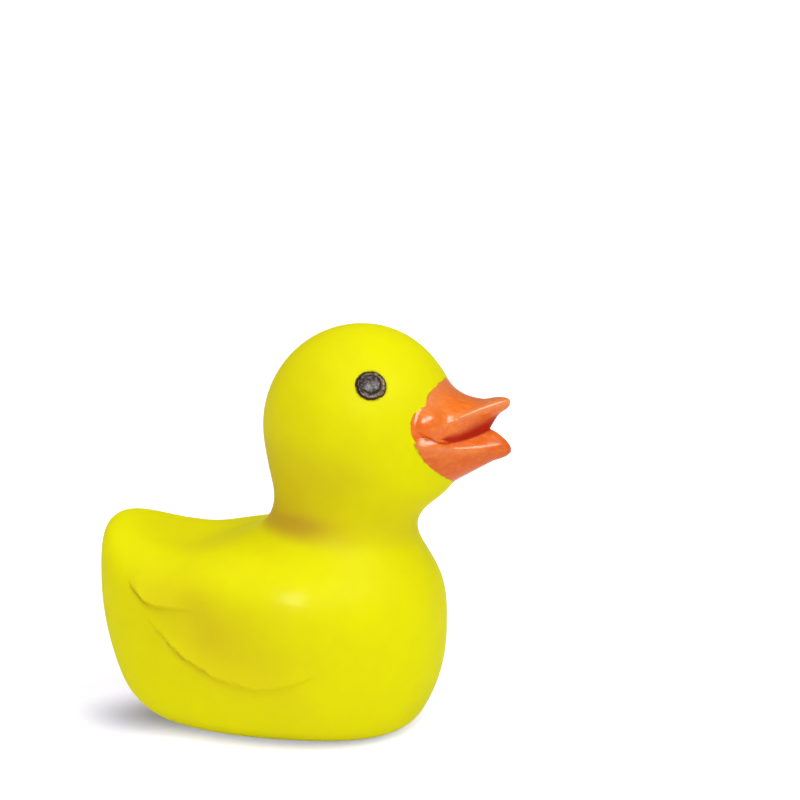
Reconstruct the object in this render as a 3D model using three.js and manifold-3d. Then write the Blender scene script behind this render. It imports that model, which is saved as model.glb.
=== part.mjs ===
// Duck figurine, moulded in one piece: body with an upturned tail, head, open bill, eyes and wing edges.
// Millimetres, +Z up. The duck faces +X and stands on z = 0, with the origin under the middle of its box.
import * as THREE from 'three';
import { mergeVertices } from 'three/addons/utils/BufferGeometryUtils.js';
import Module from 'manifold-3d';

const { clamp, degToRad, lerp, mapLinear, smoothstep } = THREE.MathUtils;

// Body: a rounded form around its widest section, with a flat foot and a dished back
const BODY_X = -0.82;
const BODY_WIDTH = 14.8;
const BODY_REAR_LENGTH = 11.09;
const BODY_FRONT_LENGTH = 8.71;
const BODY_WIDEST_HEIGHT = 5.6;
const BACK_RISE = 5.3;
const BELLY_DROP = 8.36;
const BELLY_EASE = 3.0;
const FOOT_REAR_FILLET = 2.94;
const FOOT_FRONT_FILLET = 0.9;
const FLOOR_CUT_DEPTH = 5;
const BACK_DISH = 0.74;
const DISH_RIM_BLEND = 0.58;

// Shoulders: the back rises beside the neck, between two places behind the widest section
const SHOULDER_RISE = 0.3;
const SHOULDER_START = 6.0;
const SHOULDER_END = 1.5;

// Shares and powers that shape the body's sections: a power of 2 is an ellipse, and more is squarer
const DISH_SHARE = 0.74;
const FOOT_SINK_SHARE = 1 / 16;
const DISH_FADE_SHARE = 0.8;
const PLAN_POWER = 2.2;
const BACK_POWER = 3.2;
const TAIL_POWER = 3.25;
const BELLY_POWER = 2.45;
const CHEST_POWER = 2.175;

// Tail: the rear of the body, lifted
const TAIL_LIFT = 3.3;
const TAIL_LENGTH = 5.67;

// Hollow on each flank, by its middle, half sizes and slant in side view
const HOLLOW_X = -3.5;
const HOLLOW_HEIGHT = 6.7;
const HOLLOW_HALF_LENGTH = 4.0;
const HOLLOW_HALF_HEIGHT = 1.8;
const HOLLOW_SLANT = degToRad(31);
const HOLLOW_DEPTH = 0.2;

// Head, ahead of the body's widest section, and the neck and chin below it
const HEAD_AHEAD = 4.04;
const HEAD_HEIGHT = 17.4;
const HEAD_LENGTH = 10.86;
const HEAD_WIDTH = 10.7;
const HEAD_TALL = 11.36;
const NECK_SET_BACK = 1.4;
const NECK_DROP = 6.0;
const NECK_DIAMETER = 6.1;
const NECK_TALL = 9.0;
const NECK_BLEND = 2.85;
const SHOULDER_BLEND = 3.05;
const CHIN_REACH = 3.1;
const CHIN_DROP = 1.17;
const CHIN_DIAMETER = 5.25;
const CHIN_BLEND = 1.5;

// Bill: places are ahead of and above the middle of the head
const BILL_REACH = 8.55;
const BILL_ROOT = 4.0;
const BILL_BACK = 2.0;
const BILL_WIDTH = 7.1;
const BILL_NOSE = 0.25;
const BILL_ROOT_TOP = 3.6;
const BILL_TIP_TOP = 1.9;
const BILL_CLIMB = 2.1;
const BILL_SADDLE = 0.1;
const CROWN_BLEND = 0.3;
const LIP_CORNER = 0.52;
const LIP_CLIMB = 1.5;
const LIP_TIP = 1.95;
const LIP_BLEND = 0.3;
const LOWER_RIM = -0.62;
const LOWER_RIM_RISE = 0.7;
const LOWER_TIP = -1.0;
const KEEL_DEPTH = 2.65;
const CORNER_EDGE_BLEND = 0.8;
const TIP_EDGE_BLEND = 0.4;
const MOUTH_CORNER_HEIGHT = 0.55;
const MOUTH_TIP_HEIGHT = 1.0;
const MOUTH_SAG = 0.865;

// Rounded lips, which grow towards the tip, and two rolls along the bill's edge: one at the mouth's corner
// and one on the jaw, at the root of the lower rim
const LIP_BEAD = 0.34;
const RIM_BEAD = 0.42;
const BEAD_BLEND = 0.45;
const BEAD_CALM = 0.3;
const ROLL_SIZE = [2.1, 1.3, 1.9];
const ROLL_AHEAD = 0.85;
const ROLL_OVER = 0.26;
const ROLL_RISE = 0.25;
const ROLL_BLEND = 0.7;
const JAW_SIZE = [2.0, 1.1, 1.0];
const JAW_AHEAD = 0.8;
const JAW_OVER = 0.28;
const JAW_DROP = 0.74;
const JAW_BLEND = 0.4;

// Shares and powers that shape the bill: how deep the mouth goes in, where it reaches that depth, where the
// lips start to grow and stop, and how its outline, crown, keel and rim curve on the way to the tip
const MOUTH_DEPTH_SHARE = 0.27;
const MOUTH_CORNER_SHARE = 0.5;
const BEAD_START_SHARE = 0.2;
const BEAD_FULL_SHARE = 0.95;
const BILL_TAPER_POWER = 1.1;
const CROWN_FALL_POWER = 5;
const CROWN_SIDE_POWER = 2.6;
const CROWN_SHARE = 0.933;
const KEEL_SIDE_POWER = 2.8;
const RIM_FALL_POWER = 3;

// Eyes: low domes on the head, by their angle from straight ahead and from level
const EYE_DIAMETER = 1.7;
const EYE_DOME = 0.28;
const EYE_SUNK = 0.8;
const EYE_TURN = degToRad(65.8);
const EYE_TILT = degToRad(36.1);

// Wings: two feather edges on each side, by their rear tip, lowest point and front end in side view,
// each ahead of the body's widest section and above the floor
const WING_RELIEF = 0.26;
const WING_FADE = 1.9;
const WING_SINK = 0.08;
const WING_EDGE = { rear: [-6.5, 7.05], low: [0.5, 3.82], front: [3.9, 5.1] };
const FEATHER_EDGE = { rear: [-8.0, 8.8], low: [-5.7, 7.79], front: [-3.2, 7.95] };

// How fast a feather edge dies away to its rear tip and to its front end
const REAR_DYING_POWER = 6;
const FRONT_DYING_POWER = 2;

// Colour and mesh steps
const YELLOW = 0xece80f;
const SKIN_COLUMNS = 48;
const SKIN_ROWS = 60;
const BILL_COLUMNS = 44;
const BILL_ROWS = 32;
const EYE_SIDES = 20;
const EYE_STEPS = 6;
const CURVE_STEPS = 14;
const RAY_STEPS = 160;
const RAY_HALVINGS = 24;
const LEAST_SHARE = 0.01;

const SIDES = [-1, 1];
const head = new THREE.Vector3(BODY_X + HEAD_AHEAD, 0, HEAD_HEIGHT);
const headRadii = new THREE.Vector3(HEAD_LENGTH, HEAD_WIDTH, HEAD_TALL).divideScalar(2);
const neck = head.clone().add(new THREE.Vector3(-NECK_SET_BACK, 0, -NECK_DROP));
const neckRadii = new THREE.Vector3(NECK_DIAMETER, NECK_DIAMETER, NECK_TALL).divideScalar(2);
const chin = head.clone().add(new THREE.Vector3(CHIN_REACH, 0, -CHIN_DROP));
const chinRadii = new THREE.Vector3().setScalar(CHIN_DIAMETER / 2);
const tailEnd = BODY_X - BODY_REAR_LENGTH;
const chestEnd = BODY_X + BODY_FRONT_LENGTH;

// Fields: each gives about the distance of a point from a form's surface, below zero inside it
function smoothMin(a, b, blend) {
  const overlap = Math.max(blend - Math.abs(a - b), 0) / blend;
  return Math.min(a, b) - overlap * overlap * blend / 4;
}

function smoothMax(a, b, blend) {
  return -smoothMin(-a, -b, blend);
}

function ellipsoid(point, centre, radii) {
  const scaled = point.clone().sub(centre).divide(radii);
  const steepness = scaled.clone().divide(radii).length();
  return scaled.length() * (scaled.length() - 1) / Math.max(steepness, 1e-6);
}

function bodyField({ x, y, z }) {
  const tail = Math.max(tailEnd + TAIL_LENGTH - x, 0) / TAIL_LENGTH;
  const level = z - BODY_WIDEST_HEIGHT - TAIL_LIFT * tail * tail;
  const shoulder = smoothstep(x, BODY_X - SHOULDER_START, BODY_X - SHOULDER_END);
  const rise = BACK_RISE + SHOULDER_RISE * shoulder;
  const height = level > 0 ? rise : BELLY_DROP;
  const backPower = lerp(BACK_POWER, TAIL_POWER, Math.min(tail, 1));
  const bellyPower = lerp(BELLY_POWER, CHEST_POWER, smoothstep(x, BODY_X, chestEnd));
  const power = level > 0 ? backPower : bellyPower;
  const along = Math.abs(x - BODY_X) / (x < BODY_X ? BODY_REAR_LENGTH : BODY_FRONT_LENGTH);
  const across = Math.abs(y) / (BODY_WIDTH / 2);
  const plan = (along ** PLAN_POWER + across ** PLAN_POWER) ** (1 / PLAN_POWER);
  const reach = (plan ** power + (Math.abs(level) / height) ** power) ** (1 / power);
  const spread = Math.max(1 - along ** PLAN_POWER, LEAST_SHARE) ** (1 / PLAN_POWER);
  const depth = BACK_DISH * (1 - DISH_FADE_SHARE * shoulder);
  const dish = rise - depth * (1 - Math.min(across / (DISH_SHARE * spread), 2) ** 2);
  const scale = lerp(rise, BELLY_DROP, smoothstep(-level, 0, BELLY_EASE));
  return smoothMax((reach - 1) * scale, level - dish, DISH_RIM_BLEND);
}

function hollowShare({ x, z }) {
  const ahead = x - HOLLOW_X;
  const over = z - HOLLOW_HEIGHT;
  const along = (ahead * Math.cos(HOLLOW_SLANT) - over * Math.sin(HOLLOW_SLANT)) / HOLLOW_HALF_LENGTH;
  const up = (ahead * Math.sin(HOLLOW_SLANT) + over * Math.cos(HOLLOW_SLANT)) / HOLLOW_HALF_HEIGHT;
  return Math.exp(-along * along - up * up);
}

function skinField(point) {
  const skull = smoothMin(
    ellipsoid(point, head, headRadii), ellipsoid(point, chin, chinRadii), CHIN_BLEND);
  const upper = smoothMin(skull, ellipsoid(point, neck, neckRadii), NECK_BLEND);
  const whole = smoothMin(upper, bodyField(point), SHOULDER_BLEND);
  const fillet = lerp(FOOT_REAR_FILLET, FOOT_FRONT_FILLET, smoothstep(point.x, 0, chestEnd));
  const footed = smoothMax(whole, -point.z - FOOT_SINK_SHARE * fillet, fillet);
  return footed + HOLLOW_DEPTH * hollowShare(point);
}

// The bill's share of its length at a place, and its outline seen from above, which is 1 on the edge
const billHalf = BILL_WIDTH / 2;
const billLong = BILL_REACH - BILL_ROOT;

function billOut(x) {
  return clamp((x - head.x - BILL_ROOT) / billLong, 0, 1.2);
}

function billTaper(x) {
  return 1 - billOut(x) ** BILL_TAPER_POWER;
}

function billPlan({ x, y }) {
  const outline = 1 - billTaper(x) + (Math.hypot(y, BILL_NOSE) - BILL_NOSE) / billHalf;
  return Math.max(outline, 1 + BILL_BACK - x + head.x);
}

// Levels of the bill's lines above the middle of the head: upper lip, lower rim, mouth and crown
function lipLevel(x) {
  return smoothMin(LIP_CORNER + LIP_CLIMB * billOut(x), LIP_TIP, LIP_BLEND);
}

function rimLevel(x) {
  return LOWER_RIM + LOWER_RIM_RISE * (1 - Math.min(billOut(x), 1)) ** RIM_FALL_POWER;
}

function mouthLevel(x) {
  const out = Math.min(billOut(x), 1);
  return lerp(MOUTH_CORNER_HEIGHT, MOUTH_TIP_HEIGHT, out) - MOUTH_SAG * 4 * out * (1 - out);
}

function crownLevel(x) {
  const out = Math.min(billOut(x), 1);
  const climb = BILL_CLIMB * (1 - out) ** CROWN_FALL_POWER - BILL_SADDLE * 4 * out * (1 - out);
  return smoothMin(BILL_TIP_TOP + climb, BILL_ROOT_TOP, CROWN_BLEND);
}

// A lip's rounded edge, by the distance out of the bill's side and up from the lip, and its growth from 0 to 1
function beadField(side, up, radius, growth) {
  const grown = radius * growth;
  return Math.hypot(side + grown, up + growth * grown / 2) - grown + BEAD_CALM * (1 - growth);
}

// A roll lies along the bill's edge, turned as the edge is, and rises from the mouth's corner
const edgeTurn = Math.atan2(billHalf, billLong);

function rollField({ x, y, z }, size, ahead, over, rise) {
  const inset = size[1] / 2 - over;
  const offset = new THREE.Vector3(
    x - head.x - BILL_ROOT - ahead + inset * Math.sin(edgeTurn),
    Math.abs(y) - billHalf + ahead * Math.tan(edgeTurn) + inset * Math.cos(edgeTurn),
    z - head.z - MOUTH_CORNER_HEIGHT - rise);
  offset.applyAxisAngle(new THREE.Vector3(0, 0, 1), edgeTurn);
  return ellipsoid(offset, new THREE.Vector3(), new THREE.Vector3(...size).divideScalar(2));
}

function billField(point) {
  const level = point.z - head.z;
  const out = billOut(point.x);
  const inner = Math.min(out, 1);
  const plan = billPlan(point);
  const lip = lipLevel(point.x);
  const rim = rimLevel(point.x);
  const mouth = mouthLevel(point.x);
  const taper = Math.max(billTaper(point.x), LEAST_SHARE);
  const width = Math.sqrt((billHalf * taper + BILL_NOSE) ** 2 - BILL_NOSE ** 2);
  const across = Math.min(Math.abs(point.y) / width, 1);
  const top = lip + (crownLevel(point.x) - lip) * (1 - (across / CROWN_SHARE) ** CROWN_SIDE_POWER);
  const keel = LOWER_TIP - KEEL_DEPTH * (1 - inner);
  const under = rim + (keel - rim) * (1 - across ** KEEL_SIDE_POWER);
  const depth = MOUTH_DEPTH_SHARE * smoothstep(out, -MOUTH_CORNER_SHARE, MOUTH_CORNER_SHARE);
  const gape = clamp((plan - 1 + depth) / Math.max(depth, LEAST_SHARE), -1, 2);
  const roof = mouth + (gape > 0 ? lip - mouth : 1) * gape;
  const floor = mouth + (gape > 0 ? rim - mouth : -1) * gape;
  const side = (plan - 1) / Math.hypot(1 / billHalf, 1 / billLong);
  const edge = lerp(CORNER_EDGE_BLEND, TIP_EDGE_BLEND, inner);
  const growth = smoothstep(out, BEAD_START_SHARE, BEAD_FULL_SHARE);
  const crust = smoothMax(smoothMax(level - top, side, edge), roof - level, edge);
  const hull = smoothMax(smoothMax(under - level, side, edge), level - floor, edge);
  const upper = smoothMin(crust, beadField(side, level - lip, LIP_BEAD, growth), BEAD_BLEND);
  const lower = smoothMin(hull, beadField(side, level - rim, RIM_BEAD, growth), BEAD_BLEND);
  const roll = rollField(point, ROLL_SIZE, ROLL_AHEAD, ROLL_OVER, ROLL_RISE);
  const jaw = rollField(point, JAW_SIZE, JAW_AHEAD, JAW_OVER, -JAW_DROP);
  return Math.min(smoothMin(upper, roll, ROLL_BLEND), smoothMin(lower, jaw, JAW_BLEND));
}

// Walks out along a ray from inside a form to the place where the form ends
function reach(field, origin, direction, longest) {
  const at = (distance) => origin.clone().addScaledVector(direction, distance);
  const step = longest / RAY_STEPS;
  let inside = 0;
  while (inside < longest && field(at(inside + step)) < 0) inside += step;
  let outside = inside + step;
  for (let halving = 0; halving < RAY_HALVINGS; halving += 1) {
    const middle = (inside + outside) / 2;
    if (field(at(middle)) < 0) inside = middle;
    else outside = middle;
  }
  return at(inside);
}

// Lays a sphere's rows and columns on a form: aim(row, column) gives each vertex a ray, from 0 to 1 each way
function wrap(columns, rows, aim, field) {
  const geometry = new THREE.SphereGeometry(1, columns, rows);
  const position = geometry.getAttribute('position');
  for (let index = 0; index < position.count; index += 1) {
    const row = Math.floor(index / (columns + 1));
    const column = (index % (columns + 1)) % columns;
    const { origin, direction } = aim(row / rows, column / columns);
    const place = reach(field, origin, direction, BODY_REAR_LENGTH + BODY_FRONT_LENGTH);
    position.setXYZ(index, place.x, place.y, place.z);
  }
  return geometry;
}

// The skin's rays leave a spine: along the body from the tail, then round a hinge behind the neck to the head
const HINGE_BACK_SHARE = 0.8;
const HINGE_UP_SHARE = 0.6;
const hinge = neck.clone();
hinge.x -= NECK_DIAMETER / 2 + HINGE_BACK_SHARE * NECK_BLEND;
hinge.z += HINGE_UP_SHARE * NECK_BLEND;
const spineTail = new THREE.Vector3(tailEnd + TAIL_LENGTH / 2, 0, BODY_WIDEST_HEIGHT + TAIL_LIFT / 3);
const spineTurn = new THREE.Vector3(hinge.x, 0, BODY_WIDEST_HEIGHT);
const headTurn = Math.atan2(head.z - hinge.z, head.x - hinge.x);

// Shares of the rows that cover the tail's end, the tail and back together, and all but the top of the head
const TAIL_SHARE = 0.17;
const BACK_SHARE = 0.34;
const HEAD_SHARE = 0.83;

function skinRay(row, column) {
  const turned = clamp((row - BACK_SHARE) / (HEAD_SHARE - BACK_SHARE), 0, 1);
  const turn = lerp(-Math.PI / 2, headTurn, turned);
  const away = new THREE.Vector3(Math.cos(turn), 0, Math.sin(turn));
  const onward = new THREE.Vector3(-Math.sin(turn), 0, Math.cos(turn));
  const angle = 2 * Math.PI * column;
  const around = away.clone().multiplyScalar(Math.cos(angle));
  around.y -= Math.sin(angle);
  let origin;
  if (row < BACK_SHARE) {
    const along = Math.max(row - TAIL_SHARE, 0) / (BACK_SHARE - TAIL_SHARE);
    origin = spineTail.clone().lerp(spineTurn, along);
  } else {
    const distance = lerp(hinge.distanceTo(spineTurn), hinge.distanceTo(head), smoothstep(turned, 0, 1));
    origin = hinge.clone().addScaledVector(away, distance);
  }
  let lean = 0;
  if (row < TAIL_SHARE) lean = -(1 - row / TAIL_SHARE) * Math.PI / 2;
  if (row > HEAD_SHARE) lean = (row - HEAD_SHARE) / (1 - HEAD_SHARE) * Math.PI / 2;
  const direction = around.multiplyScalar(Math.cos(lean)).addScaledVector(onward, Math.sin(lean));
  return { origin, direction };
}

// The bill's rays leave one point on the mouth's level, with rows kept for its upper lip, mouth and lower rim
const CORE_SHARE = 0.33;
const FRONT_CROWDING = 0.35;
const billCore = head.clone();
billCore.x += lerp(BILL_ROOT, BILL_REACH, CORE_SHARE);
billCore.z += mouthLevel(billCore.x);
const LIP_SHARE = 0.38;
const MOUTH_SHARE = 0.55;
const RIM_SHARE = 0.68;

function billRay(row, column) {
  const sideways = 2 * Math.PI * column;
  const turn = sideways - FRONT_CROWDING * Math.sin(sideways);
  const levelRay = new THREE.Vector3(Math.cos(turn), Math.sin(turn), 0);
  const edge = reach((point) => billPlan(point) - 1, billCore, levelRay, BILL_REACH);
  const crease = reach((point) => billPlan(point) - 1 + MOUTH_DEPTH_SHARE, billCore, levelRay, BILL_REACH);
  const climbTo = (place, level) => Math.atan2(head.z + level - billCore.z, place.distanceTo(billCore));
  const stops = [
    [0, Math.PI / 2],
    [LIP_SHARE, climbTo(edge, Math.max(lipLevel(edge.x), mouthLevel(edge.x)))],
    [MOUTH_SHARE, climbTo(crease, mouthLevel(crease.x))],
    [RIM_SHARE, climbTo(edge, rimLevel(edge.x))],
    [1, -Math.PI / 2],
  ];
  const next = Math.max(stops.findIndex(([share]) => share >= row), 1);
  const [start, high] = stops[next - 1];
  const [end, low] = stops[next];
  const climb = mapLinear(row, start, end, high, low);
  const direction = levelRay.multiplyScalar(Math.cos(climb)).setZ(Math.sin(climb));
  return { origin: billCore, direction };
}

// An eye is a lathed dome on a short stem, set square to the head where its angles point
function eyeGeometry(side) {
  const radius = EYE_DIAMETER / 2;
  const profile = [new THREE.Vector2(0, -EYE_SUNK), new THREE.Vector2(radius, -EYE_SUNK)];
  for (let step = 0; step <= EYE_STEPS; step += 1) {
    const angle = step / EYE_STEPS * Math.PI / 2;
    profile.push(new THREE.Vector2(radius * Math.cos(angle), EYE_DOME * Math.sin(angle)));
  }
  const ray = new THREE.Vector3(1, 0, 0);
  ray.applyAxisAngle(new THREE.Vector3(0, 1, 0), -EYE_TILT);
  ray.applyAxisAngle(new THREE.Vector3(0, 0, 1), side * EYE_TURN);
  const seat = reach(skinField, head, ray, HEAD_TALL);
  const outward = seat.clone().sub(head).divide(headRadii).divide(headRadii).normalize();
  const geometry = new THREE.LatheGeometry(profile, EYE_SIDES);
  geometry.applyQuaternion(new THREE.Quaternion().setFromUnitVectors(new THREE.Vector3(0, 1, 0), outward));
  return geometry.translate(seat.x, seat.y, seat.z);
}

// A feather edge swells the skin above a curved line, most at the line, and dies away above it and forward
function featherEdge({ rear, low, front }) {
  const outline = new THREE.Shape();
  outline.moveTo(...rear);
  outline.quadraticCurveTo((rear[0] + low[0]) / 2, low[1], ...low);
  outline.quadraticCurveTo((low[0] + front[0]) / 2, low[1], ...front);
  outline.lineTo(front[0], front[1] + 2 * WING_FADE);
  outline.lineTo(rear[0], rear[1] + 2 * WING_FADE);
  const swell = ({ x, z }) => {
    const forward = x - BODY_X - low[0];
    const end = forward < 0 ? rear : front;
    const share = forward / (end[0] - low[0]);
    const above = z - low[1] - (end[1] - low[1]) * share * share;
    const dying = share ** (forward < 0 ? REAR_DYING_POWER : FRONT_DYING_POWER);
    const shrink = 1 - clamp(above / WING_FADE, 0, 1);
    return WING_RELIEF * Math.max(shrink * shrink - dying - WING_SINK, -1);
  };
  const slab = new THREE.ExtrudeGeometry(
    outline, { depth: 2 * BODY_WIDTH, bevelEnabled: false, curveSegments: CURVE_STEPS });
  slab.rotateX(Math.PI / 2).translate(BODY_X, BODY_WIDTH, 0);
  const swollen = wrap(SKIN_COLUMNS, SKIN_ROWS, skinRay, (point) => skinField(point) - swell(point));
  return solid(swollen).intersect(solid(slab));
}

// Joins and cuts
const wasm = await Module();
wasm.setup();

function solid(geometry) {
  geometry.deleteAttribute('normal');
  geometry.deleteAttribute('uv');
  const merged = mergeVertices(geometry, 1e-4);
  return new wasm.Manifold(new wasm.Mesh({
    numProp: 3,
    vertProperties: new Float32Array(merged.getAttribute('position').array),
    triVerts: new Uint32Array(merged.index.array),
  }));
}

function geometryOf(manifold) {
  const mesh = manifold.getMesh();
  const geometry = new THREE.BufferGeometry();
  geometry.setAttribute('position', new THREE.BufferAttribute(mesh.vertProperties, 3));
  geometry.setIndex(new THREE.BufferAttribute(mesh.triVerts, 1));
  geometry.computeVertexNormals();
  return geometry;
}

function floorBox() {
  const size = 2 * (BODY_REAR_LENGTH + BODY_FRONT_LENGTH);
  return new THREE.BoxGeometry(size, size, FLOOR_CUT_DEPTH).translate(0, 0, -FLOOR_CUT_DEPTH / 2);
}

function duckGeometry() {
  let duck = solid(wrap(SKIN_COLUMNS, SKIN_ROWS, skinRay, skinField));
  duck = duck.add(solid(wrap(BILL_COLUMNS, BILL_ROWS, billRay, billField)));
  for (const edge of [WING_EDGE, FEATHER_EDGE]) duck = duck.add(featherEdge(edge));
  for (const side of SIDES) duck = duck.add(solid(eyeGeometry(side)));
  return geometryOf(duck.subtract(solid(floorBox())));
}

const paint = new THREE.MeshStandardMaterial({ color: YELLOW, roughness: 0.5, metalness: 0 });
const duck = new THREE.Mesh(duckGeometry(), paint);
duck.name = 'duck';

const figurine = new THREE.Group();
figurine.add(duck);

export default figurine;
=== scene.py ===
"""Duck figurine: one moulded piece with a painted bill and painted eyes, on a plain pale floor in soft light.

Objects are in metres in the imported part's frame: the duck faces +X, +Z is up, and it stands on z = 0.
The form is worked out in millimetres, as a field that is below zero inside the duck.
"""

import math

import bmesh
import bpy
import numpy as np
from bpy.props import FloatProperty, FloatVectorProperty, PointerProperty
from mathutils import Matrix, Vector


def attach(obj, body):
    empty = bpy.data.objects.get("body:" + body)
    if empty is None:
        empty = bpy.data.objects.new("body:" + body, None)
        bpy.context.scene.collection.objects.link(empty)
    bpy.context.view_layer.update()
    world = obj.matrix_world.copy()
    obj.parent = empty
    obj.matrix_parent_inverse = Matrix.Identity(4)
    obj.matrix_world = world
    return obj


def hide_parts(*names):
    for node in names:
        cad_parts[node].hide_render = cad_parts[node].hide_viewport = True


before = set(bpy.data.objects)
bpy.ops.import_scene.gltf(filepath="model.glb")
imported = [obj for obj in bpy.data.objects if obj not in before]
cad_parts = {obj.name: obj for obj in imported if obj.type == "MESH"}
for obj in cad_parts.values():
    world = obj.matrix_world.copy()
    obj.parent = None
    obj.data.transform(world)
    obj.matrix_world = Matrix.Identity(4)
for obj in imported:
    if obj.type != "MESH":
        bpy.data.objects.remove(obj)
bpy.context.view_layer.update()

bl_info = {
    "name": "Duck Figurine",
    "version": (1, 0, 0),
    "blender": (4, 5, 0),
    "location": "View3D > Sidebar > Duck",
    "description": "Makes a small moulded and painted duck, and a plain stage with soft light for it",
    "category": "Add Mesh",
}

MM = 0.001


# Settings


def length(name, description, millimetres):
    """A size or a place on one axis, written in millimetres and kept in metres."""
    return FloatProperty(
        name=name, description=description, default=millimetres * MM, unit="LENGTH", precision=5
    )


def place(name, description, *millimetres):
    """A point or a set of sizes, written in millimetres and kept in metres."""
    metres = [value * MM for value in millimetres]
    return FloatVectorProperty(
        name=name, description=description, size=len(metres), default=metres, unit="LENGTH", precision=5
    )


def angle(name, description, degrees):
    """An angle, written in degrees and kept in radians."""
    return FloatProperty(
        name=name, description=description, default=math.radians(degrees), subtype="ANGLE"
    )


def share(name, description, value):
    """A plain number, such as a share of something or a power that bends a curve."""
    return FloatProperty(name=name, description=description, default=value, min=0.0, soft_max=10.0)


def tint(name, description, *levels):
    """A colour, written as the 0 to 255 levels that a screen shows and kept as linear light."""
    linear = []
    for level in levels:
        value = level / 255
        linear.append(value / 12.92 if value <= 0.04045 else ((value + 0.055) / 1.055) ** 2.4)
    return FloatVectorProperty(
        name=name, description=description, size=3, default=linear, min=0.0, max=1.0, subtype="COLOR"
    )


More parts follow.
